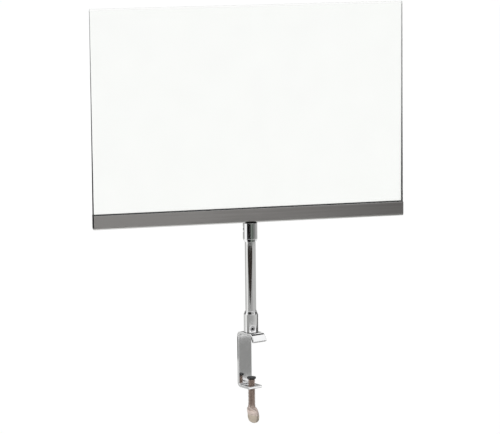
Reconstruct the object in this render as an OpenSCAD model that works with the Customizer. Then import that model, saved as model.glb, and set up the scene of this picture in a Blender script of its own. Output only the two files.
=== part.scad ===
// Clamp-on sign holder for a rectangular hang rail.
// A folded clear sleeve stands in a U channel on a short swivelling stem,
// and a C-shaped clamp with a thumb screw grips the rail below.
// The origin is on the stem's axis where the clamp rests on the rail's top.
// +X runs along the sign, -Y is the side the sign is read from, +Z is up.

/* [Sign sleeve] */
// Width of the sign along X
sign_width = 279.4; // [150:0.1:360]
// Height of the sleeve above the channel
sleeve_show = 177.8; // [90:0.1:220]
// Thickness of the clear sheet
sheet = 1.5; // [1:0.1:2]
// Gap between the two faces at the folded top
fold_gap = 0.8; // [0.5:0.1:2]

/* [Channel] */
// Depth of the channel from front to back
channel_depth = 9.5; // [8:0.1:14]
// Height of the channel
channel_height = 12.7; // [10:0.1:20]
// Wall thickness of the channel
channel_wall = 1.2; // [0.8:0.1:1.5]
// Outer radius of the channel's bottom edges
channel_bend = 2.4; // [1.6:0.1:3.5]

/* [Stem] */
// Outer diameter of the stem's tube
tube_d = 9.525; // [8:0.005:10.5]
// Bore of the stem's tube
tube_bore = 7.1; // [5:0.1:7.5]
// Length of tube that shows between the collars
tube_show = 62; // [30:0.5:150]
// Diameter of both collars
collar_d = 12.7; // [12:0.1:16]
// Height of the upper collar
upper_collar_h = 17; // [16:0.1:24]
// Height of the lower collar
lower_collar_h = 19.05; // [18:0.05:28]
// Depth of tube held inside each collar
tube_hold = 6.5; // [4:0.1:7]
// Diameter of both studs
stud_d = 6.35; // [5:0.01:6.5]
// Length of stud held inside each collar
stud_hold = 9; // [8:0.1:9]

/* [Set screws] */
// Diameter of a set screw
set_screw_d = 4; // [3:0.1:5]
// Width of a set screw's hexagon socket across its flats
set_screw_socket = 2; // [1.5:0.1:2.5]
// Height of the lower set screw above the clamp
lower_screw_z = 3.7; // [3.5:0.1:6]
// Depth of the upper set screw below the channel
upper_screw_drop = 5.6; // [4:0.1:6]

/* [Clamp] */
// Turn of the clamp about the stem, away from the sign's own line
clamp_turn = 22; // [0:1:45]
// Height of the rail that the clamp takes
rail_height = 38.1; // [20:0.1:60]
// Width of the clamp's strip
strip_w = 14.3; // [12:0.1:20]
// Thickness of the clamp's strip
strip_t = 2.4; // [2:0.1:3]
// Inner radius of the clamp's bends
bend_r = 1.8; // [1:0.1:2.5]
// Reach of the strip behind the stem's axis, to its inner face
back_reach = 9; // [8:0.1:16]
// Reach of the top jaw in front of the stem's axis, to its bend
top_reach = 7.5; // [7:0.1:12]
// Angle of the front lip below the horizontal
lip_angle = 60; // [30:1:80]
// Length of the lip's straight part
lip_length = 5.2; // [4:0.1:12]
// Reach of the lower jaw in front of the stem's axis
jaw_reach = 6; // [5:0.1:7]
// Gap between the rail's underside and the lower jaw
jaw_gap = 7.4; // [3:0.1:10]

/* [Thumb screw] */
// Diameter of the thumb screw's thread
screw_d = 6.35; // [5:0.01:8]
// Radial clearance of the thread in the jaw
screw_clearance = 0.06; // [0.03:0.01:0.1]
// Distance from the jaw's underside to the screw's head
screw_out = 17.3; // [12:0.1:30]
// Width of the screw's flat head
head_w = 15.6; // [12:0.1:24]
// Height of the screw's flat head
head_h = 14.4; // [12:0.1:24]
// Thickness of the screw's flat head
head_t = 2.6; // [2:0.1:3.5]
// Diameter of the pressure pad
pad_d = 8; // [7.5:0.1:10]
// Thickness of the pressure pad
pad_t = 1.5; // [1.2:0.1:2]

/* [Hidden] */

$fn = 64;
chrome_colour = [0.72, 0.73, 0.74];
satin_colour = [0.47, 0.47, 0.46];
nickel_colour = [0.66, 0.62, 0.59];
clear_colour = [0.92, 0.96, 0.97, 0.35];
steel_colour = [0.55, 0.55, 0.56];
dark_colour = [0.12, 0.12, 0.13];

// Running clearance of a stud in its collar
stud_clearance = 0.05;
// Small overshoot that carries a cut past a face
past = 1;
// Taper at a collar's tube end, inwards and along, and chamfer at its stud end
taper_in = 1.1;
taper_along = 2.6;
seat_edge = 0.4;
// Room past the end of a stud in its bore
stud_room = 0.5;
// Groove around a stud, wider than the set screw whose tip it takes
groove_r = 2.4;
groove_play = 0.6;
groove_w = set_screw_d + groove_play;
// Room between a set screw's tip and the groove
tip_room = 0.25;
// Depth of a set screw's outer end below the collar's surface, and its length
set_screw_sunk = 0.35;
set_screw_l = collar_d / 2 - set_screw_sunk - groove_r - tip_room;
// Depth of a set screw's socket
set_screw_depth = 1.8;
// Spigot on the thumb screw's tip, in the pad
spigot_r = 1.5;
spigot_l = 0.8;
spigot_room = 0.1;
// Cone between the thumb screw's shank and its head, and the radius of its tip
head_root = 4;
root_r = 0.9;
// Turn of the thumb screw's head about its axis
head_turn = -80;

// Heights, from the rail's top face up
collar_z = strip_t;
tube_z = collar_z + lower_collar_h;
upper_z = tube_z + tube_show;
channel_z = upper_z + upper_collar_h;
floor_z = channel_z + channel_wall;
sleeve_top = channel_z + channel_height + sleeve_show;

// Heights, from the rail's underside down
pad_z = -rail_height;
jaw_top = pad_z - jaw_gap;
jaw_bottom = jaw_top - strip_t;
head_top = jaw_bottom - screw_out;

// The sleeve's section: two sheets that lean together from the channel up to the fold
sleeve_room = 0.08;
sleeve_foot = channel_depth / 2 - channel_wall - sleeve_room;
fold_r = fold_gap / 2 + sheet;
fold_z = sleeve_top - fold_r;

// Outer radius of the clamp's bends
bend_out = bend_r + strip_t;

// A flat outline in the YZ plane, extruded evenly to both sides of X
module along_x(width) {
    rotate([90, 0, 90])
        linear_extrude(height = width, center = true)
            children();
}

// Everything that turns with the clamp
module at_clamp() {
    rotate([0, 0, clamp_turn])
        children();
}

// Round bar that stands on z = 0, chamfered below and tapered above
module tapered_bar(diameter, height) {
    r = diameter / 2;
    rotate_extrude()
        polygon([
            [0, 0], [r - seat_edge, 0], [r, seat_edge],
            [r, height - taper_along], [r - taper_in, height], [0, height]
        ]);
}

// Stud that stands on z = 0, with a groove for a set screw's tip
module stud(plate, groove_at) {
    difference() {
        cylinder(d = stud_d, h = plate + stud_hold);
        translate([0, 0, plate + groove_at - groove_w / 2])
            difference() {
                cylinder(d = stud_d + past, h = groove_w);
                translate([0, 0, -past])
                    cylinder(r = groove_r, h = groove_w + 2 * past);
            }
    }
}

// Collar that stands on z = 0 with the stud's bore below and the tube's bore above
module collar(height, screw_at) {
    difference() {
        tapered_bar(collar_d, height);
        translate([0, 0, -past])
            cylinder(r = stud_d / 2 + stud_clearance, h = stud_hold + stud_room + past);
        translate([0, 0, height - tube_hold])
            cylinder(d = tube_d, h = tube_hold + past);
        translate([0, 0, screw_at])
            rotate([90, 0, 0])
                cylinder(d = set_screw_d, h = collar_d);
    }
}

// Set screw along -Y with a hexagon socket in its outer end
module set_screw() {
    rotate([90, 0, 0])
        translate([0, 0, groove_r + tip_room])
            difference() {
                cylinder(d = set_screw_d, h = set_screw_l);
                translate([0, 0, set_screw_l - set_screw_depth])
                    cylinder(d = set_screw_socket / cos(30), h = set_screw_depth + past, $fn = 6);
            }
}

// Turns a collar or its screw over, so that its stud enters from above
module hung_below_channel() {
    translate([0, 0, channel_z])
        rotate([180, 0, 90])
            children();
}

// C-shaped strip that hooks over the rail
module clamp_strip() {
    color(chrome_colour)
        at_clamp()
            difference() {
                along_x(strip_w)
                    clamp_outline();
                translate([0, 0, -past])
                    cylinder(d = stud_d, h = strip_t + 2 * past);
                translate([0, 0, jaw_bottom - past])
                    cylinder(r = screw_d / 2 + screw_clearance, h = strip_t + 2 * past);
            }
}

// Bent strip seen from its side: the C, and the lip that hangs from its front
module clamp_outline() {
    difference() {
        union() {
            rounded_back(strip_t, bend_out);
            at_front_bend() {
                circle(r = bend_out);
                rotate(90 + lip_angle)
                    square([bend_out, lip_length]);
            }
        }
        rounded_back(0, bend_r);
        at_front_bend() {
            circle(r = bend_r);
            rotate(90 + lip_angle)
                translate([-bend_out, 0])
                    square([bend_out + bend_r, lip_length + past]);
        }
        translate([-top_reach - past, jaw_bottom - past])
            square([top_reach - jaw_reach + past, strip_t + 2 * past]);
    }
}

// Places a shape at the centre of the front bend
module at_front_bend() {
    translate([-top_reach, -bend_r])
        children();
}

// Block from the top jaw's bend to the back leg, grown on all sides, with round corners at the back
module rounded_back(grow, corner) {
    length = top_reach + back_reach + grow;
    low = jaw_top - grow;
    high = grow;
    translate([-top_reach, low + corner])
        square([length, high - low - 2 * corner]);
    translate([-top_reach, low])
        square([length - corner, high - low]);
    for (z = [low + corner, high - corner])
        translate([-top_reach + length - corner, z])
            circle(r = corner);
}

// Stud riveted flush in the top jaw
module clamp_stud() {
    color(chrome_colour)
        stud(strip_t, lower_screw_z);
}

// Collar that turns on the clamp's stud
module lower_collar() {
    color(chrome_colour)
        translate([0, 0, collar_z])
            collar(lower_collar_h, lower_screw_z);
}

// Screw that locks the lower collar on its stud
module lower_set_screw() {
    color(steel_colour)
        translate([0, 0, collar_z + lower_screw_z])
            set_screw();
}

// Tube held in both collars
module stem_tube() {
    color(chrome_colour)
        translate([0, 0, tube_z - tube_hold])
            difference() {
                cylinder(d = tube_d, h = tube_show + 2 * tube_hold);
                translate([0, 0, -past])
                    cylinder(d = tube_bore, h = tube_show + 2 * tube_hold + 2 * past);
            }
}

// Collar that the sign turns in
module upper_collar() {
    color(chrome_colour)
        hung_below_channel()
            collar(upper_collar_h, upper_screw_drop);
}

// Screw that locks the channel's stud in the upper collar
module upper_set_screw() {
    color(steel_colour)
        hung_below_channel()
            translate([0, 0, upper_screw_drop])
                set_screw();
}

// Stud riveted flush in the channel's floor
module channel_stud() {
    color(chrome_colour)
        translate([0, 0, floor_z])
            rotate([180, 0, 0])
                stud(channel_wall, upper_screw_drop);
}

// U channel along the sign's foot
module channel() {
    color(satin_colour)
        difference() {
            along_x(sign_width)
                translate([0, channel_z])
                    channel_outline();
            translate([0, 0, channel_z - past])
                cylinder(d = stud_d, h = channel_wall + 2 * past);
        }
}

// U section with rounded lower corners, standing on y = 0
module channel_outline() {
    corner_x = channel_depth / 2 - channel_bend;
    difference() {
        union() {
            translate([-channel_depth / 2, channel_bend])
                square([channel_depth, channel_height - channel_bend]);
            translate([-corner_x, 0])
                square([2 * corner_x, channel_height]);
            for (side = [-1, 1])
                translate([side * corner_x, channel_bend])
                    circle(r = channel_bend);
        }
        translate([channel_wall - channel_depth / 2, channel_wall])
            square([channel_depth - 2 * channel_wall, channel_height]);
    }
}

// Clear sheet folded over at the top, open below and at both sides
module acrylic_sleeve() {
    color(clear_colour)
        along_x(sign_width)
            difference() {
                sleeve_outline(sleeve_foot, fold_r, 0);
                sleeve_outline(sleeve_foot - sheet, fold_gap / 2, past);
            }
}

// Tall wedge with a round top, down to the channel's floor or past it
module sleeve_outline(foot, top_r, below) {
    translate([0, fold_z])
        circle(r = top_r);
    polygon([
        [-foot, floor_z - below], [foot, floor_z - below], [foot, floor_z],
        [top_r, fold_z], [-top_r, fold_z], [-foot, floor_z]
    ]);
}

// Pad that presses on the rail's underside
module pressure_pad() {
    color(dark_colour)
        translate([0, 0, pad_z - pad_t])
            difference() {
                cylinder(d = pad_d, h = pad_t);
                translate([0, 0, -past])
                    cylinder(r = spigot_r + stud_clearance, h = spigot_l + spigot_room + past);
            }
}

// Thumb screw with a flat head and a spigot for the pad
module thumb_screw() {
    color(nickel_colour)
        at_clamp() {
            rotate_extrude()
                polygon([
                    [0, head_top - head_root], [root_r, head_top - head_root], [screw_d / 2, head_top - root_r],
                    [screw_d / 2, pad_z - pad_t], [spigot_r, pad_z - pad_t],
                    [spigot_r, pad_z - pad_t + spigot_l], [0, pad_z - pad_t + spigot_l]
                ]);
            rotate([0, 0, head_turn])
                translate([0, 0, head_top - head_h / 2])
                    rotate([90, 0, 0])
                        linear_extrude(height = head_t, center = true)
                            head_outline();
        }
}

// Round head cut level at the top and bottom
module head_outline() {
    intersection() {
        circle(d = head_w);
        square([head_w, head_h], center = true);
    }
}

clamp_strip();
clamp_stud();
lower_collar();
lower_set_screw();
stem_tube();
upper_collar();
upper_set_screw();
channel_stud();
channel();
acrylic_sleeve();
pressure_pad();
thumb_screw();
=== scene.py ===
"""Looks of the clamp-on sign holder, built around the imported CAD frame. Lengths are in metres."""

import math

import bmesh
import bpy
from mathutils import Matrix, Vector


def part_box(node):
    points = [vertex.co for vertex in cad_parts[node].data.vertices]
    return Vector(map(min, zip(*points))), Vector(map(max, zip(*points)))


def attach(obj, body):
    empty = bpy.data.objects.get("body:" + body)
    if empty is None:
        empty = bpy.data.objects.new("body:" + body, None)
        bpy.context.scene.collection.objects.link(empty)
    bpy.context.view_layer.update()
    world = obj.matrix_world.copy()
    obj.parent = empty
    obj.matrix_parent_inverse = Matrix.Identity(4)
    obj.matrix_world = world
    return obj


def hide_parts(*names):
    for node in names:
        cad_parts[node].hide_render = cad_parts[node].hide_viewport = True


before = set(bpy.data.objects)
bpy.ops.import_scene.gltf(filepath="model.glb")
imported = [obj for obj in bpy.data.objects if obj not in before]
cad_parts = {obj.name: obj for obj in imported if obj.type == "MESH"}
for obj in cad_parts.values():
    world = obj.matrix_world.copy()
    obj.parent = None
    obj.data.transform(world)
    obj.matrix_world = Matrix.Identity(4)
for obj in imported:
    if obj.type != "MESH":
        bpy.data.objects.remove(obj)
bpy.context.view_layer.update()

MM = 0.001
# Distance from an edge to the extra point that keeps a flat wall's shading true
SUPPORT = 0.06 * MM
# Edges that turn by more than this angle in degrees are shaded sharp
EDGE_ANGLE = 35
# Points around a round part
SIDES = 64

# ---------------------------------------------------------------- sizes

# The clamp's turn about the stem, away from the sign's line
CLAMP_TURN = math.radians(22)
# Bent strip: thickness, width and inner bend, then how far each part reaches from the stem's axis
STRIP_T = 2.4 * MM
STRIP_W = 14.3 * MM
BEND_R = 1.8 * MM
BACK_REACH = 9.0 * MM
TOP_REACH = 7.5 * MM
JAW_REACH = 6.0 * MM
LIP_ANGLE = math.radians(60)
LIP_LENGTH = 5.2 * MM
# Lip's and lower jaw's rounded tips
TIP_R = 0.6 * MM
# Channel and sleeve
CHANNEL_WALL = 1.2 * MM
CHANNEL_BEND = 2.4 * MM
CHANNEL_LIP_R = 0.35 * MM
SHEET_T = 1.5 * MM
FOLD_R = 1.9 * MM
SHEET_EDGE = 0.12 * MM
# Taper at a collar's tube end, inwards and along
TAPER_IN = 1.1 * MM
TAPER_ALONG = 2.6 * MM
# Chamfer at a collar's seat
SEAT_EDGE = 0.4 * MM
TUBE_BORE_R = 3.55 * MM
# How far the tube goes into a collar
TUBE_HOLD = 6.5 * MM
# The thumb screw's shank has the studs' radius
STUD_R = 3.175 * MM
STUD_PLAY = 0.05 * MM
# Groove around a stud
GROOVE_R = 2.4 * MM
GROOVE_HALF = 2.3 * MM
GROOVE_SLOPE = 0.3 * MM
# Set screws and their holes
SET_SCREW_R = 2.0 * MM
HOLE_R = 2.05 * MM
HOLE_BEVEL = 0.7 * MM
HOLE_START = 3.4 * MM
SOCKET_R = 1.0 * MM
SOCKET_DEPTH = 1.7 * MM
# Spigot on the thumb screw that carries the pad
SPIGOT_R = 1.5 * MM
SPIGOT_H = 0.8 * MM
# Thumb screw
THREAD_PITCH = 1.27 * MM
THREAD_DEPTH = 0.62 * MM
HEAD_H = 14.4 * MM
HEAD_W = 15.6 * MM
HEAD_T = 2.6 * MM
HEAD_TURN = math.radians(-80)
# How far the head leans sideways towards its tip
HEAD_LEAN = 2.0 * MM
# The oval's half width and thickness within the head's full size
HEAD_FILL_W = 0.84
HEAD_FILL_T = 0.98

ACRYLIC_IOR = 1.49


# ---------------------------------------------------------------- mesh tools


def add_mesh(name, points, faces, sharp=EDGE_ANGLE):
    """New object with smooth faces and edges that are sharp above an angle in degrees."""
    mesh = bpy.data.meshes.new(name)
    mesh.from_pydata([tuple(p) for p in points], [], faces)
    mesh.validate()
    mesh.polygons.foreach_set("use_smooth", [True] * len(mesh.polygons))
    mesh.set_sharp_from_angle(angle=math.radians(sharp))
    mesh.update()
    made = bpy.data.objects.new(name, mesh)
    bpy.context.scene.collection.objects.link(made)
    return made


def arc(centre, radius, start, end, steps):
    """Points on an arc in a plane; angles in degrees."""
    turns = [math.radians(start + (end - start) * i / steps) for i in range(steps + 1)]
    return [(centre[0] + radius * math.cos(a), centre[1] + radius * math.sin(a)) for a in turns]


def rounded(corners, steps=6):
    """Closed outline through corners (x, y, radius), each corner rounded to its radius."""
    points = []
    count = len(corners)
    for i, (x, y, radius) in enumerate(corners):
        here = Vector((x, y))
        back = (Vector(corners[i - 1][:2]) - here).normalized()
        ahead = (Vector(corners[(i + 1) % count][:2]) - here).normalized()
        half = back.angle(ahead) / 2
        if radius <= 0 or half > math.radians(89.9):
            points.append((x, y))
            continue
        reach = radius / math.tan(half)
        centre = here + (back + ahead).normalized() * (radius / math.sin(half))
        first = here + back * reach - centre
        last = here + ahead * reach - centre
        sweep = first.angle_signed(last)
        for k in range(steps + 1):
            turned = Matrix.Rotation(-sweep * k / steps, 2) @ first
            points.append(tuple(centre + turned))
    return points


def inset(outline, depth):
    """The same outline moved inwards by depth along its own normals."""
    count = len(outline)
    area = sum(
        outline[i - 1][0] * outline[i][1] - outline[i][0] * outline[i - 1][1] for i in range(count)
    )
    side = 1 if area > 0 else -1
    moved = []
    for i in range(count):
        here = Vector(outline[i])
        into = (here - Vector(outline[i - 1])).normalized()
        away = (Vector(outline[(i + 1) % count]) - here).normalized()
        normal_in = Vector((-into.y, into.x)) * side
        normal_out = Vector((-away.y, away.x)) * side
        middle = (normal_in + normal_out).normalized()
        moved.append(tuple(here + middle * (depth / max(0.3, middle.dot(normal_in)))))
    return moved


def supported(outline, closed=True):
    """The same outline with a point close to both ends of each long stretch.
    They keep smooth shading true on flat and straight walls."""
    points = []
    count = len(outline)
    for i, here in enumerate(outline):
        points.append(tuple(here))
        if i == count - 1 and not closed:
            break
        ahead = Vector(outline[(i + 1) % count]) - Vector(here)
        if ahead.length > 4 * SUPPORT:
            step = ahead.normalized() * SUPPORT
            points.append(tuple(Vector(here) + step))
            points.append(tuple(Vector(here) + ahead - step))
    return points


def skin(name, rings, sharp=EDGE_ANGLE):
    """Closed rings of equally many points, joined one after another; flat caps at both ends."""
    count = len(rings[0])
    points = [p for ring in rings for p in ring]
    faces = []
    for r in range(len(rings) - 1):
        for i in range(count):
            j = (i + 1) % count
            faces.append((r * count + i, r * count + j, (r + 1) * count + j, (r + 1) * count + i))
    faces.append(tuple(reversed(range(count))))
    faces.append(tuple((len(rings) - 1) * count + i for i in range(count)))
    made = add_mesh(name, points, faces, sharp)
    face_outwards(made)
    return made


def face_outwards(made):
    """Turns all faces of a closed mesh outwards."""
    work = bmesh.new()
    work.from_mesh(made.data)
    bmesh.ops.recalc_face_normals(work, faces=work.faces)
    work.to_mesh(made.data)
    work.free()


def extrude(name, outline, half, edge, sharp=EDGE_ANGLE, steps=4):
    """Outline in (y, z) carried from x = -half to x = half, with edges rounded to a radius."""
    outline = supported(outline)
    rings = []
    for side in (-1, 1):
        rounds = [[(side * half, y, z) for y, z in inset(outline, edge + SUPPORT)]]
        for k in range(steps + 1):
            a = math.radians(90 * k / steps)
            shrunk = inset(outline, edge * (1 - math.sin(a)))
            x = side * (half - edge * (1 - math.cos(a)))
            rounds.append([(x, y, z) for y, z in shrunk])
        rounds.append([(side * (half - edge - SUPPORT), y, z) for y, z in outline])
        rings += rounds if side < 0 else rounds[::-1]
    return skin(name, rings, sharp)


def lathe(name, profile, sides=96):
    """Closed profile of (radius, z) points turned about Z; none lies on the axis."""
    profile = supported(profile)
    count = len(profile)
    points = []
    for s in range(sides):
        a = 2 * math.pi * s / sides
        points += [(r * math.cos(a), r * math.sin(a), z) for r, z in profile]
    faces = []
    for s in range(sides):
        t = (s + 1) % sides
        for i in range(count):
            j = (i + 1) % count
            faces.append((s * count + i, t * count + i, t * count + j, s * count + j))
    made = add_mesh(name, points, faces)
    face_outwards(made)
    return made


def circle(radius, z):
    """Ring of points around the Z axis."""
    turns = [2 * math.pi * s / SIDES for s in range(SIDES)]
    return [(radius * math.cos(a), radius * math.sin(a), z) for a in turns]


def solid_lathe(name, profile):
    """Open profile of (radius, z) points from bottom to top turned about Z, closed by flat caps."""
    rings = []
    first, last = profile[0], profile[-1]
    ends = [(first[0] - SUPPORT, first[1])], [(last[0] - SUPPORT, last[1])]
    for r, z in ends[0] + supported(profile, closed=False) + ends[1]:
        rings.append(circle(r, z))
    return skin(name, rings)


def cut(piece, cutter):
    """Takes the cutter's solid out of the piece and deletes the cutter."""
    change = piece.modifiers.new("cut", "BOOLEAN")
    change.operation = "DIFFERENCE"
    change.solver = "EXACT"
    change.object = cutter
    bpy.context.view_layer.update()
    seen = piece.evaluated_get(bpy.context.evaluated_depsgraph_get())
    piece.data = bpy.data.meshes.new_from_object(seen)
    piece.modifiers.clear()
    piece.data.polygons.foreach_set("use_smooth", [True] * len(piece.data.polygons))
    piece.data.set_sharp_from_angle(angle=math.radians(EDGE_ANGLE))
    bpy.data.objects.remove(cutter)


def turn(piece, matrix):
    """Moves the mesh itself, so that the object stays at the origin."""
    piece.data.transform(matrix)


def finish_piece(piece, node, body, material):
    """The piece stands for a CAD node, rides on its body and takes its finish from a slot."""
    piece.data.materials.clear()
    piece.data.materials.append(material)
    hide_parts(node)
    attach(piece, body)


# ---------------------------------------------------------------- materials


class Nodes:
    """A material's node tree, built with short calls."""

    def __init__(self, name):
        self.material = bpy.data.materials.new(name)
        self.material.use_nodes = True
        self.tree = self.material.node_tree
        self.shader = self.tree.nodes["Principled BSDF"]
        self.place = self.tree.nodes.new("ShaderNodeTexCoord").outputs["Object"]

    def add(self, kind, **values):
        """New node; each value goes to its input of that name, or else to its setting."""
        node = self.tree.nodes.new(kind)
        for key, value in values.items():
            if key in node.inputs:
                node.inputs[key].default_value = value
            else:
                setattr(node, key, value)
        return node

    def link(self, a, b):
        self.tree.links.new(a, b)

    def stretched(self, scale):
        """Object coordinates with a scale per axis."""
        mapping = self.add("ShaderNodeMapping")
        mapping.inputs["Scale"].default_value = scale
        self.link(self.place, mapping.inputs["Vector"])
        return mapping.outputs["Vector"]

    def noise(self, scale, detail=4.0, stretch=(1, 1, 1), roughness=0.5):
        node = self.add("ShaderNodeTexNoise", Scale=scale, Detail=detail, Roughness=roughness)
        self.link(self.stretched(stretch), node.inputs["Vector"])
        return node.outputs["Fac"]

    def ramp(self, source, stops):
        """Colour ramp; stops are (place, colour or grey)."""
        node = self.add("ShaderNodeValToRGB")
        bar = node.color_ramp
        while len(bar.elements) < len(stops):
            bar.elements.new(0.5)
        for element, (place, colour) in zip(bar.elements, stops):
            plain = isinstance(colour, (int, float))
            element.position = place
            element.color = (colour, colour, colour, 1) if plain else (*colour, 1)
        self.link(source, node.inputs["Fac"])
        return node.outputs["Color"]

    def colour(self, source, stops):
        """Sends a colour ramp to the base colour."""
        self.link(self.ramp(source, stops), self.shader.inputs["Base Color"])

    def axis(self, name):
        """One object coordinate."""
        axes = self.add("ShaderNodeSeparateXYZ")
        self.link(self.place, axes.inputs[0])
        return axes.outputs[name]

    def span(self, source, low, high):
        """0 below low, 1 above high and even in between."""
        node = self.add("ShaderNodeMapRange")
        node.inputs["From Min"].default_value = low
        node.inputs["From Max"].default_value = high
        self.link(source, node.inputs["Value"])
        return node.outputs["Result"]

    def mixed(self, factor, first, second):
        """Blend of two colours; each is a colour or a socket."""
        node = self.add("ShaderNodeMix", data_type="RGBA")
        self.link(factor, node.inputs["Factor"])
        for side, colour in (("A", first), ("B", second)):
            socket = [i for i in node.inputs if i.name == side and i.type == "RGBA"][0]
            if isinstance(colour, tuple):
                socket.default_value = (*colour, 1)
            else:
                self.link(colour, socket)
        return [o for o in node.outputs if o.type == "RGBA"][0]

    def roughness(self, source, low, high):
        """Roughness between two values."""
        node = self.add("ShaderNodeMapRange")
        node.inputs["To Min"].default_value = low
        node.inputs["To Max"].default_value = high
        self.link(source, node.inputs["Value"])
        self.link(node.outputs["Result"], self.shader.inputs["Roughness"])

    def bump(self, source, strength, distance):
        node = self.add("ShaderNodeBump", Strength=strength, Distance=distance)
        self.link(source, node.inputs["Height"])
        self.link(node.outputs["Normal"], self.shader.inputs["Normal"])


def chrome(name, tint=0.93, seats=()):
    """Bright plate: faint cloudiness, fine polishing marks and a slight waviness.
    Painted shade darkens it at the heights where a collar meets its seat."""
    n = Nodes(name)
    n.shader.inputs["Metallic"].default_value = 1.0
    cloud = n.noise(90, 5)
    cloudy = (tint * 0.94, tint * 0.945, tint * 0.95)
    plate = n.ramp(cloud, [(0.3, cloudy), (0.7, (tint, tint, tint * 1.005))])
    height = n.axis("Z")
    # painted shade: a dark band at each height where a collar meets its seat
    for seat in seats:
        away = n.add("ShaderNodeMath", operation="SUBTRACT")
        n.link(height, away.inputs[0])
        away.inputs[1].default_value = seat
        size = n.add("ShaderNodeMath", operation="ABSOLUTE")
        n.link(away.outputs[0], size.inputs[0])
        clear_of_seat_shade = n.span(size.outputs[0], 0.25 * MM, 0.6 * MM)
        plate = n.mixed(clear_of_seat_shade, (0.03, 0.03, 0.028), plate)
    n.link(plate, n.shader.inputs["Base Color"])
    marks = n.noise(700, 3, (1, 1, 0.12))
    n.roughness(marks, 0.02, 0.07)
    wave = n.noise(160, 2)
    n.bump(wave, 0.05, 0.00012)
    return n.material


def satin_channel():
    """Satin grey metal with drawing lines along the channel, painted shade inside, on its rims and
    towards its right end, and painted highlights along its lower edges and just under the rim."""
    n = Nodes("satin_channel")
    n.shader.inputs["Metallic"].default_value = 1.0
    low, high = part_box("channel")
    lines = n.noise(420, 6, (0.02, 1, 1), 0.65)
    tone = n.noise(14, 3, (0.5, 1, 1))
    both = n.add("ShaderNodeMath", operation="ADD")
    n.link(lines, both.inputs[0])
    n.link(tone, both.inputs[1])
    satin = n.ramp(both.outputs[0], [(0.55, (0.222, 0.213, 0.206)), (1.0, (0.312, 0.302, 0.295))])
    # painted shade, deepening towards the sign's right end
    along = n.span(n.axis("X"), low[0], high[0])
    shade = n.ramp(along, [(0.0, 1.0), (0.37, 0.96), (0.66, 0.81), (0.83, 0.65), (1.0, 0.575)])
    outside = n.add("ShaderNodeVectorMath", operation="MULTIPLY")
    n.link(satin, outside.inputs[0])
    n.link(shade, outside.inputs[1])
    # painted highlight: bright along the channel's lower edges
    lower = n.span(n.axis("Z"), low[2] + 0.5 * MM, low[2] + 2.3 * MM)
    wear_and_highlight = n.mixed(lower, (0.72, 0.71, 0.70), outside.outputs[0])
    # painted highlight: a light line just under the rim
    lip = n.span(n.axis("Z"), high[2] - 0.7 * MM, high[2] - 0.4 * MM)
    edged = n.mixed(lip, wear_and_highlight, (0.36, 0.355, 0.35))
    # painted shade: dark inside, above the floor and between the walls
    depth = n.add("ShaderNodeMath", operation="ABSOLUTE")
    n.link(n.axis("Y"), depth.inputs[0])
    wall = n.span(depth.outputs[0], high[1] - CHANNEL_WALL * 0.95, high[1] - CHANNEL_WALL * 0.7)
    foot = n.span(n.axis("Z"), low[2] + CHANNEL_WALL, low[2] + CHANNEL_WALL * 0.9)
    outer = n.add("ShaderNodeMath", operation="MAXIMUM")
    n.link(wall, outer.inputs[0])
    n.link(foot, outer.inputs[1])
    plate = n.mixed(outer.outputs[0], (0.008, 0.008, 0.008), edged)
    # painted shade: a dark line along the very top of the rims
    rim = n.span(n.axis("Z"), high[2] - 0.14 * MM, high[2] - 0.06 * MM)
    n.link(n.mixed(rim, plate, (0.02, 0.02, 0.02)), n.shader.inputs["Base Color"])
    n.roughness(lines, 0.26, 0.42)
    n.bump(lines, 0.18, 0.00008)
    return n.material


def clear_acrylic():
    """Polished clear sheet with a trace of rolling waves and fine handling marks."""
    n = Nodes("clear_acrylic")
    n.shader.inputs["Transmission Weight"].default_value = 1.0
    n.shader.inputs["IOR"].default_value = ACRYLIC_IOR
    haze = n.noise(35, 4)
    n.colour(haze, [(0.3, (0.966, 0.972, 0.962)), (0.7, (0.974, 0.980, 0.970))])
    marks = n.noise(260, 6, (1, 1, 0.3), 0.7)
    n.roughness(marks, 0.0, 0.03)
    wave = n.noise(9, 1)
    n.bump(wave, 0.03, 0.0004)
    return n.material


def sawn_acrylic():
    """Sawn edge of the clear sheet, which scatters light."""
    n = Nodes("sawn_acrylic")
    n.shader.inputs["Transmission Weight"].default_value = 0.12
    n.shader.inputs["IOR"].default_value = ACRYLIC_IOR
    cuts = n.noise(500, 5, (1, 1, 0.2))
    n.colour(cuts, [(0.3, (0.80, 0.82, 0.81)), (0.7, (0.90, 0.92, 0.91))])
    n.roughness(cuts, 0.25, 0.45)
    n.bump(cuts, 0.2, 0.00005)
    return n.material


def dull_nickel():
    """Dull warm nickel plate, darker in patches and brownish on the thread; the head's upper part has
    a painted highlight, lighter and pinkish, and its lower part painted shade, darker tan."""
    n = Nodes("dull_nickel")
    n.shader.inputs["Metallic"].default_value = 1.0
    stains = n.noise(260, 6, (1, 1, 1), 0.6)
    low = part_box("thumb_screw")[0][2]
    # painted light: lighter and pinkish above the head's crease, darker tan below it, for the two
    # halves facing the light differently; brownish on the thread
    base = n.ramp(
        n.span(n.axis("Z"), low, low + 2 * HEAD_H),
        [
            (0.22, (0.56, 0.49, 0.405)),
            (0.27, (0.78, 0.66, 0.60)),
            (0.47, (0.72, 0.60, 0.54)),
            (0.53, (0.50, 0.405, 0.355)),
        ],
    )
    patch = n.ramp(stains, [(0.30, 0.76), (0.70, 1.0)])
    plate = n.add("ShaderNodeVectorMath", operation="MULTIPLY")
    n.link(base, plate.inputs[0])
    n.link(patch, plate.inputs[1])
    n.link(plate.outputs[0], n.shader.inputs["Base Color"])
    fine = n.noise(1500, 4)
    n.roughness(fine, 0.20, 0.42)
    n.bump(fine, 0.25, 0.00005)
    return n.material


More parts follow.
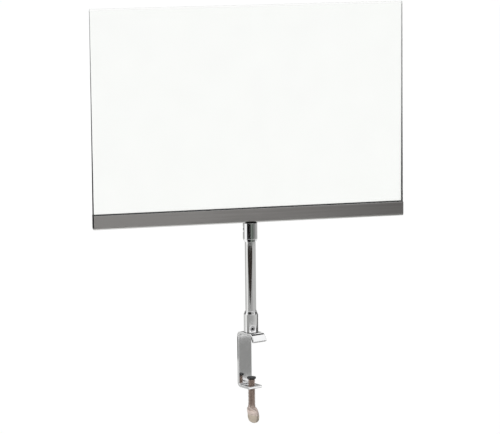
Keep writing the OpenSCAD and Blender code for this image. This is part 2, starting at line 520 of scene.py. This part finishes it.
def bright_steel():
    """Bright set screw with painted shade in its socket and down its sides."""
    n = Nodes("bright_steel")
    n.shader.inputs["Metallic"].default_value = 1.0
    wear_and_highlight = n.noise(900, 5)
    steel = n.ramp(wear_and_highlight, [(0.35, (0.42, 0.42, 0.43)), (0.75, (0.70, 0.70, 0.71))])
    plan = n.add("ShaderNodeCombineXYZ")
    n.link(n.axis("X"), plan.inputs["X"])
    n.link(n.axis("Y"), plan.inputs["Y"])
    away = n.add("ShaderNodeVectorMath", operation="LENGTH")
    n.link(plan.outputs[0], away.inputs[0])
    face = -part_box("lower_set_screw")[0][1]
    # painted shade: dark everywhere deeper than 0.6 mm below the face
    inside = n.span(away.outputs["Value"], face - 0.6 * MM, face - 0.1 * MM)
    n.link(n.mixed(inside, (0.02, 0.02, 0.02), steel), n.shader.inputs["Base Color"])
    n.roughness(wear_and_highlight, 0.22, 0.40)
    n.bump(wear_and_highlight, 0.2, 0.00004)
    return n.material


def black_pad():
    """Moulded black plastic with a fine matt grain."""
    n = Nodes("black_pad")
    grain = n.noise(2200, 5)
    n.colour(grain, [(0.35, (0.012, 0.012, 0.013)), (0.7, (0.035, 0.035, 0.037))])
    n.roughness(grain, 0.45, 0.65)
    n.bump(grain, 0.35, 0.00005)
    return n.material


SEATS = (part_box("lower_collar")[0][2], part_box("upper_collar")[1][2])
stem_chrome = chrome("stem_chrome", seats=SEATS)
clamp_chrome = chrome("clamp_chrome", 0.95)
channel_metal = satin_channel()
acrylic = clear_acrylic()
acrylic_edge = sawn_acrylic()
nickel = dull_nickel()
screw_steel = bright_steel()
pad_plastic = black_pad()


# ---------------------------------------------------------------- pieces


def levels(node):
    """Lowest and highest z of a CAD node."""
    low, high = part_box(node)
    return low[2], high[2]


def radius_of(node):
    """Radius of an upright round CAD node."""
    low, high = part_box(node)
    return (high[0] - low[0]) / 2


def collar_profile(low, high, seat_up, radius):
    """Turned collar with a bore for the stud at its seat and a bore for the tube at its other end."""
    stud_bore = STUD_R + STUD_PLAY
    tube_bore = radius_of("stem_tube")
    height = high - low
    outline = rounded(
        [
            (stud_bore, 0, 0.2 * MM),
            (radius - SEAT_EDGE, 0, 0.15 * MM),
            (radius, SEAT_EDGE, 0.15 * MM),
            (radius, height - TAPER_ALONG, 0.9 * MM),
            (radius - TAPER_IN, height, 0.25 * MM),
            (tube_bore, height, 0.1 * MM),
            (tube_bore, height - TUBE_HOLD, 0),
            (stud_bore, height - TUBE_HOLD, 0),
        ],
        4,
    )
    return [(r, high - z if seat_up else low + z) for r, z in outline]


def set_screw_hole(z, turn_z):
    """Cutter for a collar's set screw, along -Y turned about Z."""
    wall = radius_of("lower_collar")
    wide = HOLE_R + HOLE_BEVEL
    profile = [
        (HOLE_R, HOLE_START),
        (HOLE_R, wall - HOLE_BEVEL),
        (wide, wall + 0.05 * MM),
        (wide, wall + MM),
    ]
    cutter = solid_lathe("cutter", profile)
    turn(cutter, Matrix.Rotation(math.radians(90), 4, "X"))
    turn(cutter, Matrix.Rotation(turn_z, 4, "Z"))
    turn(cutter, Matrix.Translation((0, 0, z)))
    return cutter


def middle(node):
    """Centre of a CAD node's box."""
    low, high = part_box(node)
    return [(a + b) / 2 for a, b in zip(low, high)]


def make_collar(name, node, seat_up, screw, screw_turn):
    """Collar with a bevelled hole for its set screw."""
    low, high = levels(node)
    collar = lathe(name, collar_profile(low, high, seat_up, radius_of(node)))
    cut(collar, set_screw_hole(middle(screw)[2], screw_turn))
    finish_piece(collar, node, "stem", stem_chrome)


def make_set_screw(name, node, screw_turn):
    """Socket set screw: chamfered rim, flat face and a six-sided socket with a drilled floor."""
    low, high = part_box(node)
    length = min(high[0] - low[0], high[1] - low[1])
    outer = max(abs(c) for c in (low[0], low[1], high[0], high[1]) if abs(c) > 4 * MM)
    z = middle(node)[2]
    sides = 48
    r = SET_SCREW_R
    flat = SOCKET_R

    def ring(radius, depth, hexed):
        points = []
        for s in range(sides):
            a = 2 * math.pi * s / sides
            near = (a % math.radians(60)) - math.radians(30)
            reach = radius / math.cos(near) if hexed else radius
            points.append((reach * math.cos(a), reach * math.sin(a), outer - depth))
        return points

    rings = [
        ring(1.2 * MM, length, False),
        ring(r - 0.3 * MM, length - 0.1 * MM, False),
        ring(r, length - 0.5 * MM, False),
        ring(r, 0.35 * MM, False),
        ring(r - 0.35 * MM, 0, False),
        ring(flat + 0.12 * MM, 0, True),
        ring(flat, 0.1 * MM, True),
        ring(flat, SOCKET_DEPTH, True),
        ring(0.5 * MM, SOCKET_DEPTH + 0.2 * MM, False),
    ]
    screw = skin(name, rings, 30)
    turn(screw, Matrix.Rotation(math.radians(90), 4, "X"))
    turn(screw, Matrix.Rotation(screw_turn, 4, "Z"))
    turn(screw, Matrix.Translation((0, 0, z)))
    finish_piece(screw, node, "stem", screw_steel)


def make_stud(name, node, body, plate_up):
    """Riveted stud with a groove for the set screw and a chamfered free end."""
    low, high = levels(node)
    length = high - low
    plate = CHANNEL_WALL if plate_up else STRIP_T
    screw = "upper_set_screw" if plate_up else "lower_set_screw"
    groove_at = abs(middle(screw)[2] - (high if plate_up else low))
    edge = 0.4 * MM
    profile = [
        (STUD_R - 0.05 * MM, 0),
        (STUD_R, 0.05 * MM),
        (STUD_R, plate),
        (STUD_R, groove_at - GROOVE_HALF),
        (GROOVE_R, groove_at - GROOVE_HALF + GROOVE_SLOPE),
        (GROOVE_R, groove_at + GROOVE_HALF - GROOVE_SLOPE),
        (STUD_R, groove_at + GROOVE_HALF),
        (STUD_R, length - edge),
        (STUD_R - edge, length),
    ]
    placed = [(r, high - z if plate_up else low + z) for r, z in profile]
    stud = solid_lathe(name, placed[::-1] if plate_up else placed)
    finish_piece(stud, node, body, stem_chrome)


def make_tube():
    """Plain tube with softened ends."""
    low, high = levels("stem_tube")
    r = radius_of("stem_tube")
    edge = 0.2 * MM
    profile = rounded(
        [(TUBE_BORE_R, low, edge), (r, low, edge), (r, high, edge), (TUBE_BORE_R, high, edge)], 3
    )
    tube = lathe("tube", profile)
    finish_piece(tube, "stem_tube", "stem", stem_chrome)


def make_channel():
    """U channel, open above and at both ends, with soft lips and round lower edges."""
    low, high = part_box("channel")
    half_depth = (high[1] - low[1]) / 2
    lip = CHANNEL_LIP_R
    outline = rounded(
        [
            (-half_depth, high[2], lip),
            (-half_depth, low[2], CHANNEL_BEND),
            (half_depth, low[2], CHANNEL_BEND),
            (half_depth, high[2], lip),
            (half_depth - CHANNEL_WALL, high[2], lip),
            (half_depth - CHANNEL_WALL, low[2] + CHANNEL_WALL, 0.05 * MM),
            (CHANNEL_WALL - half_depth, low[2] + CHANNEL_WALL, 0.05 * MM),
            (CHANNEL_WALL - half_depth, high[2], lip),
        ],
        6,
    )
    channel = extrude("sign_channel", outline, high[0], 0.04 * MM)
    finish_piece(channel, "channel", "sign", channel_metal)


def make_sleeve():
    """One clear sheet folded at the top; its two sides stand apart at the foot."""
    low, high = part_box("acrylic_sleeve")
    foot = high[1]
    inner_r = FOLD_R - SHEET_T
    fold_z = high[2] - FOLD_R
    foot_z = low[2]
    edge = SHEET_EDGE
    right = rounded([(foot - SHEET_T, foot_z, edge), (foot, foot_z, edge), (FOLD_R, fold_z, 0)], 3)
    outline = right[:-1] + arc((0, fold_z), FOLD_R, 0, 180, 24)
    outline += [(-y, z) for y, z in reversed(right[:-1])]
    outline += arc((0, fold_z), inner_r, 180, 0, 16)
    sleeve = extrude("clear_sleeve", outline, high[0], edge, 30, 3)
    finish_piece(sleeve, "acrylic_sleeve", "sleeve", acrylic)
    # the sheet's two upright cut edges
    sleeve.data.materials.append(acrylic_edge)
    for face in sleeve.data.polygons:
        face.material_index = 1 if abs(face.normal.x) > 0.5 else 0


def clamp_outline():
    """The strip's outline in (y, z): lip, top jaw, back leg and lower jaw."""
    jaw_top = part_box("clamp_strip")[0][2] + STRIP_T
    centre = (-TOP_REACH, -BEND_R)
    lip_at = math.pi / 2 + LIP_ANGLE
    ahead = Vector((-math.sin(lip_at), math.cos(lip_at)))
    out = Vector((math.cos(lip_at), math.sin(lip_at)))
    bend_out = BEND_R + STRIP_T
    inner_end = Vector(centre) + out * BEND_R + ahead * LIP_LENGTH
    outer_end = Vector(centre) + out * bend_out + ahead * LIP_LENGTH
    lip_turn = 90 + math.degrees(LIP_ANGLE)
    end = rounded(
        [
            (*(inner_end - ahead * MM), 0),
            (*inner_end, TIP_R),
            (*outer_end, TIP_R),
            (*(outer_end - ahead * MM), 0),
        ],
        5,
    )
    back = BACK_REACH - BEND_R
    points = arc(centre, BEND_R, 90, lip_turn, 10)
    points += end[1:-1]
    points += arc(centre, bend_out, lip_turn, 90, 14)
    points += arc((back, -BEND_R), bend_out, 90, 0, 14)
    points += arc((back, jaw_top + BEND_R), bend_out, 0, -90, 14)
    jaw = rounded(
        [
            (-JAW_REACH + MM, jaw_top - STRIP_T, 0),
            (-JAW_REACH, jaw_top - STRIP_T, TIP_R),
            (-JAW_REACH, jaw_top, TIP_R),
            (-JAW_REACH + MM, jaw_top, 0),
        ],
        5,
    )
    points += jaw[1:-1]
    points += arc((back, jaw_top + BEND_R), BEND_R, -90, 0, 10)
    points += arc((back, -BEND_R), BEND_R, 0, 90, 10)
    return points


def make_clamp():
    """Bent strip with rolled edges, drilled for the stud and the thumb screw."""
    strip = extrude("clamp_c_strip", clamp_outline(), STRIP_W / 2, 0.45 * MM)
    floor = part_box("clamp_strip")[0][2]
    cut(strip, solid_lathe("cutter", [(STUD_R, -MM), (STUD_R, 4 * MM)]))
    r = STUD_R + 0.06 * MM
    sink = 0.5 * MM
    wide = r + sink
    top = floor + STRIP_T
    profile = [
        (wide, floor - MM),
        (wide, floor),
        (r, floor + sink),
        (r, top - sink),
        (wide, top),
        (wide, top + MM),
    ]
    cut(strip, solid_lathe("cutter", profile))
    turn(strip, Matrix.Rotation(CLAMP_TURN, 4, "Z"))
    finish_piece(strip, "clamp_strip", "clamp", clamp_chrome)


def make_pad():
    """Round pad with a blind hole for the thumb screw's spigot."""
    low, high = levels("pressure_pad")
    r = radius_of("pressure_pad")
    # the outline stops just short of the axis
    pin = 0.02 * MM
    hole = SPIGOT_R + 0.05 * MM
    deep = low + SPIGOT_H + 0.1 * MM
    rim = rounded(
        [(hole, low, 0.1 * MM), (r, low, 0.25 * MM), (r, high, 0.35 * MM), (pin, high, 0)], 5
    )
    pad = lathe("pad", [(pin, deep), (hole, deep)] + rim, SIDES)
    finish_piece(pad, "pressure_pad", "pad", pad_plastic)


def smooth(low, high, x):
    """Soft step from 0 at low to 1 at high."""
    t = min(1, max(0, (x - low) / (high - low)))
    return t * t * (3 - 2 * t)


def thread_rings(low, high, r):
    """Right-hand thread cut into the shank, fading in at the tip and out above the head."""
    step = THREAD_PITCH / 12
    count = round((high - low) / step)
    rings = []
    for k in range(count + 1):
        z = low + (high - low) * k / count
        fade = smooth(low + MM, low + 3 * MM, z)
        lead = 0.55 * MM * smooth(high - 0.8 * MM, high, z)
        ring = []
        for s in range(SIDES):
            a = 2 * math.pi * s / SIDES
            phase = (z / THREAD_PITCH - s / SIDES) % 1
            ridge = min(1, max(0, 1.35 - 2.7 * abs(phase - 0.5) * 1.35))
            depth = THREAD_DEPTH * (1 - ridge) * fade
            reach = max(r - depth - lead, 1.5 * MM)
            ring.append((reach * math.cos(a), reach * math.sin(a), z))
        rings.append(ring)
    return rings


def head_rings(top, r):
    """Forged spade head: the round neck widens into a thin leaning oval with dished faces."""
    count = 44
    half_w = HEAD_W / 2 * HEAD_FILL_W
    half_t = HEAD_T / 2 * HEAD_FILL_T
    rings = []
    for k in range(count + 1):
        # 0 at the neck and 1 at the tip, with rings closer together towards the tip
        t = k / count
        t = 0.5 - 0.5 * math.cos(math.pi * t) if t > 0.5 else t
        z = top - HEAD_H * t
        oval = math.sqrt(max(0.0, 1 - abs(2 * t - 1) ** (5.5 if t < 0.5 else 3.0)))
        neck = 1 - smooth(0, 0.34, t)
        lean = HEAD_LEAN * min(1, t / 0.5) ** 0.8
        wide = ((r * neck) ** 3 + (half_w * oval) ** 3) ** (1 / 3)
        rim = math.sqrt(max(0.0, 1 - max(0, (t - 0.88) / 0.12) ** 2))
        thick = ((r * neck) ** 3 + (half_t * rim * smooth(-0.1, 0.2, t)) ** 3) ** (1 / 3)
        wide = max(wide, 0.35 * MM)
        thick = max(thick, 0.2 * MM)
        power = 2 + 2.2 * smooth(0.05, 0.4, t)
        # the upper part of each face is pressed in, down to a crease halfway
        dish = 0.50 * smooth(0.20, 0.30, t) * (1 - smooth(0.44, 0.50, t))
        ring = []
        for s in range(SIDES):
            a = 2 * math.pi * s / SIDES
            c, q = math.cos(a), math.sin(a)
            x = math.copysign(abs(c) ** (2 / power), c)
            y = math.copysign(abs(q) ** (2 / power), q)
            y *= 1 - dish * max(0.0, 1 - (x / 0.86) ** 4)
            ring.append((x * wide + lean, y * thick, z))
        rings.append(ring)
    return rings


def make_thumb_screw():
    """Thumb screw from the head's tip up: spade head, threaded shank and the pad's spigot."""
    pad_low = levels("pressure_pad")[0]
    head_top = levels("thumb_screw")[0] + HEAD_H
    r = STUD_R
    head = head_rings(head_top, r)
    turned = Matrix.Rotation(HEAD_TURN, 4, "Z")
    head = [[tuple(turned @ Vector(p)) for p in ring] for ring in head]
    shank = thread_rings(head_top, pad_low, r)
    # the head's rings start a little off the shank's, so both run on the same angles
    shift = round(HEAD_TURN / (2 * math.pi) * len(head[0]))
    head = [ring[-shift:] + ring[:-shift] for ring in head]
    chamfer = 0.1 * MM
    spigot = [
        circle(SPIGOT_R, pad_low),
        circle(SPIGOT_R, pad_low + SPIGOT_H - chamfer),
        circle(SPIGOT_R - chamfer, pad_low + SPIGOT_H),
    ]
    rings = head[:0:-1] + shank + spigot
    screw = skin("thumb_screw_body", rings, 40)
    turn(screw, Matrix.Rotation(CLAMP_TURN, 4, "Z"))
    finish_piece(screw, "thumb_screw", "screw", nickel)


make_clamp()
make_stud("stud_low", "clamp_stud", "clamp", False)
make_collar("collar_low", "lower_collar", False, "lower_set_screw", 0)
make_set_screw("set_screw_low", "lower_set_screw", 0)
make_tube()
make_collar("collar_high", "upper_collar", True, "upper_set_screw", math.radians(-90))
make_set_screw("set_screw_high", "upper_set_screw", math.radians(-90))
make_stud("stud_high", "channel_stud", "sign", True)
make_channel()
make_sleeve()
make_pad()
make_thumb_screw()


# ---------------------------------------------------------------- stage


def floor_paint():
    """Pale floor that glows a little, so that it stays as white as the room."""
    material = bpy.data.materials.new("floor_paint")
    material.use_nodes = True
    shader = material.node_tree.nodes["Principled BSDF"]
    shader.inputs["Base Color"].default_value = (FLOOR_GREY, FLOOR_GREY, FLOOR_GREY, 1)
    shader.inputs["Roughness"].default_value = 0.9
    shader.inputs["Specular IOR Level"].default_value = 0.0
    shader.inputs["Emission Color"].default_value = (1, 1, 1, 1)
    shader.inputs["Emission Strength"].default_value = FLOOR_GLOW
    return material


def add_floor():
    """Plain level floor below the object."""
    half = FLOOR_SIZE / 2
    corners = [(-half, -half, 0), (half, -half, 0), (half, half, 0), (-half, half, 0)]
    floor = add_mesh("floor", corners, [(0, 1, 2, 3)])
    floor.location = (0, 0, FLOOR_Z)
    floor.data.materials.append(floor_paint())


def add_key_light():
    """Large soft lamp, left out of mirror reflections."""
    data = bpy.data.lights.new("key", "AREA")
    data.shape = "RECTANGLE"
    data.size = KEY_SIZE
    data.size_y = KEY_SIZE
    data.energy = KEY_POWER
    lamp = bpy.data.objects.new("key", data)
    lamp.location = KEY_PLACE
    away = Vector(KEY_TARGET) - Vector(KEY_PLACE)
    lamp.rotation_euler = away.to_track_quat("-Z", "Y").to_euler()
    lamp.visible_glossy = False
    bpy.context.scene.collection.objects.link(lamp)


# Camera: the point it looks at, its bearing, height angle, roll and distance
AIM = (0.00004, 0.0, 0.10509)
BEARING = math.radians(-14.395)
HEIGHT_ANGLE = math.radians(8.695)
ROLL = math.radians(-0.539)
DISTANCE = 2.1932
# Lens and sensor width in mm
LENS = 180.0
SENSOR = 36.0
# Floor
FLOOR_Z = -0.55
FLOOR_SIZE = 40
FLOOR_GREY = 0.04
FLOOR_GLOW = 0.97
# Key light
KEY_PLACE = (-1.6, -1.2, 2.2)
KEY_TARGET = (0, 0, 0.1)
KEY_SIZE = 1.6
KEY_POWER = 12


def add_camera():
    """Long lens, from a little above the sign and to its left."""
    data = bpy.data.cameras.new("camera")
    data.lens = LENS
    data.sensor_width = SENSOR
    data.clip_end = 60
    camera = bpy.data.objects.new("camera", data)
    flat = math.cos(HEIGHT_ANGLE)
    away = Vector((math.sin(BEARING) * flat, -math.cos(BEARING) * flat, math.sin(HEIGHT_ANGLE)))
    camera.location = Vector(AIM) + away * DISTANCE
    look = (-away).to_track_quat("-Z", "Y").to_matrix().to_4x4()
    camera.rotation_euler = (look @ Matrix.Rotation(ROLL, 4, "Z")).to_euler()
    bpy.context.scene.collection.objects.link(camera)
    bpy.context.scene.camera = camera


def add_world():
    """Even white room."""
    world = bpy.data.worlds.new("room")
    world.use_nodes = True
    sky = world.node_tree.nodes["Background"]
    sky.inputs["Color"].default_value = (1, 1, 1, 1)
    sky.inputs["Strength"].default_value = 1.0
    bpy.context.scene.world = world


def card_paint(name, colour):
    """Paper that glows evenly, so that bright metal mirrors exactly this colour."""
    material = bpy.data.materials.new(name)
    material.use_nodes = True
    tree = material.node_tree
    tree.nodes.clear()
    glow = tree.nodes.new("ShaderNodeEmission")
    glow.inputs["Color"].default_value = (*colour, 1)
    output = tree.nodes.new("ShaderNodeOutputMaterial")
    tree.links.new(glow.outputs["Emission"], output.inputs["Surface"])
    return material


def hide_card(card):
    """Only mirror reflections see a card."""
    card.visible_camera = False
    card.visible_diffuse = False
    card.visible_transmission = False
    card.visible_shadow = False
    card.visible_volume_scatter = False


def add_card(name, start, end, low, high, colour, radii, point=None):
    """Curved card around the stem; angles in degrees to the right of the camera's own bearing.
    Its lower edge may run down to a point (angle, z), and its two radii may make it a funnel."""
    steps = 24
    lower, upper = [], []
    for i in range(steps + 1):
        angle = start + (end - start) * i / steps
        bottom = low
        if point:
            side = start if angle < point[0] else end
            share = abs((point[0] - angle) / (point[0] - side))
            bottom = point[1] + (low - point[1]) * share**1.5
        a = BEARING + math.radians(angle)
        x, y = math.sin(a), -math.cos(a)
        lower.append((x * radii[0], y * radii[0], bottom))
        upper.append((x * radii[1], y * radii[1], high))
    faces = [(i, i + 1, steps + 2 + i, steps + 1 + i) for i in range(steps)]
    card = add_mesh(name, lower + upper, faces)
    card.data.materials.append(card_paint(name, colour))
    hide_card(card)


def grey(level):
    """Grey with a trace of warmth."""
    return (level, level, level * 0.98)


# Rows of grey cards that the bright plate mirrors, on rings around the stem. A row has its lowest
# and highest z, its radius at each, and for each card its angles from the camera's bearing and
# its colour
ROW_TOP = -0.040
ROW_TUBE = -0.0794
ROW_LOW = -0.168
ROW_FOOT = -0.189
ROW_LEG = -0.205
ROW_SCREW = -0.262
RING = (1.0, 1.0)
CARD_ROWS = {
    # mirrored by the stem when it is seen from its own height
    "upper": (
        ROW_TOP,
        0.10,
        RING,
        [(-150, -112, grey(0.35)), (-58, -16, grey(0.03)), (64, 112, grey(0.22))],
    ),
    # mirrored by the upper collar
    "collar": (
        ROW_TUBE,
        ROW_TOP,
        RING,
        [
            (-180, -112, grey(0.38)),
            (-112, -94, grey(0.6)),
            (-52, 10, grey(0.006)),
            (10, 24, (0.20, 0.225, 0.20)),
            (24, 60, (0.12, 0.135, 0.12)),
            (60, 95, grey(0.22)),
            (95, 180, grey(0.42)),
        ],
    ),
    # mirrored by the tube
    "tube": (
        ROW_LOW,
        ROW_TUBE,
        RING,
        [
            (-180, -100, grey(0.5)),
            (-100, -60, grey(0.85)),
            (-60, 40, grey(0.36)),
            (40, 180, grey(0.5)),
        ],
    ),
    # mirrored by the lower collar
    "low": (
        ROW_FOOT,
        ROW_LOW,
        RING,
        [
            (-180, -98, grey(0.6)),
            (-98, -70, grey(0.9)),
            (-70, 28, grey(0.36)),
            (28, 60, grey(0.45)),
            (60, 118, grey(0.56)),
            (118, 180, grey(0.10)),
        ],
    ),
    "foot": (
        ROW_LEG,
        ROW_FOOT,
        RING,
        [(-180, -98, grey(0.6)), (-70, -26, grey(0.30)), (86, 180, grey(0.10))],
    ),
    # mirrored by the clamp's back leg
    "leg": (
        ROW_SCREW,
        ROW_LEG,
        RING,
        [
            (-180, -98, grey(0.55)),
            (-62, -26, grey(0.06)),
            (30, 115, grey(0.27)),
            (125, 155, grey(0.10)),
        ],
    ),
    # mirrored by the lower jaw and the thumb screw
    "screw": (
        -0.36,
        ROW_SCREW,
        RING,
        [
            (-180, -98, grey(0.5)),
            (-62, -26, grey(0.06)),
            (0, 60, grey(0.55)),
            (120, 180, grey(0.35)),
        ],
    ),
    # mirrored by the top jaw
    "back": (0.08, 0.34, RING, [(115, 245, grey(0.28))]),
    # mirrored by the upper collar's taper
    "floor": (
        -0.545,
        -0.50,
        (0.34, 0.90),
        [
            (-180, -122, grey(0.4)),
            (-66, 13, grey(0.008)),
            (13, 32, (0.20, 0.225, 0.20)),
            (32, 76, (0.12, 0.135, 0.12)),
            (76, 112, grey(0.22)),
            (112, 180, grey(0.42)),
        ],
    ),
    # mirrored by the lower collar's taper
    "high": (
        0.55,
        0.95,
        RING,
        [(-100, -52, grey(0.50)), (-52, 10, grey(0.035)), (10, 62, grey(0.42))],
    ),
    "sides": (0.16, 0.50, (0.99, 0.99), [(-150, -95, grey(0.20)), (62, 150, grey(0.16))]),
    # mirrored by the side of the strip, where it lies on the rail
    "edge": (-0.226, -0.196, (0.97, 0.97), [(-124, -92, grey(0.05))]),
    # mirrored by the bend above the lip
    "bend": (1.0, 1.6, RING, [(100, 158, grey(0.02))]),
}
# A dark card in front of the grey ones that narrows downwards to a point: its two end angles, the
# point's angle and z, the height of its ends, its radius and its colour
STEM_ENDS = (-57, 44)
STEM_POINT = (-10, -0.158)
STEM_DROP = 0.016
STEM_RING = (0.98, 0.98)
STEM_COLOUR = (0.030, 0.025, 0.021)


def add_cards():
    """All rows of cards, and the dark one that the tube mirrors."""
    for row, (low, high, radii, cards) in CARD_ROWS.items():
        for i, (start, end, colour) in enumerate(cards):
            add_card(f"card_{row}_{i}", start, end, low, high, colour, radii)
    start, end = STEM_ENDS
    low = ROW_TUBE - STEM_DROP
    add_card("card_stem", start, end, low, ROW_TUBE, STEM_COLOUR, STEM_RING, STEM_POINT)


add_camera()
add_world()
add_floor()
add_cards()
add_key_light()
bpy.context.scene.view_settings.view_transform = "Standard"
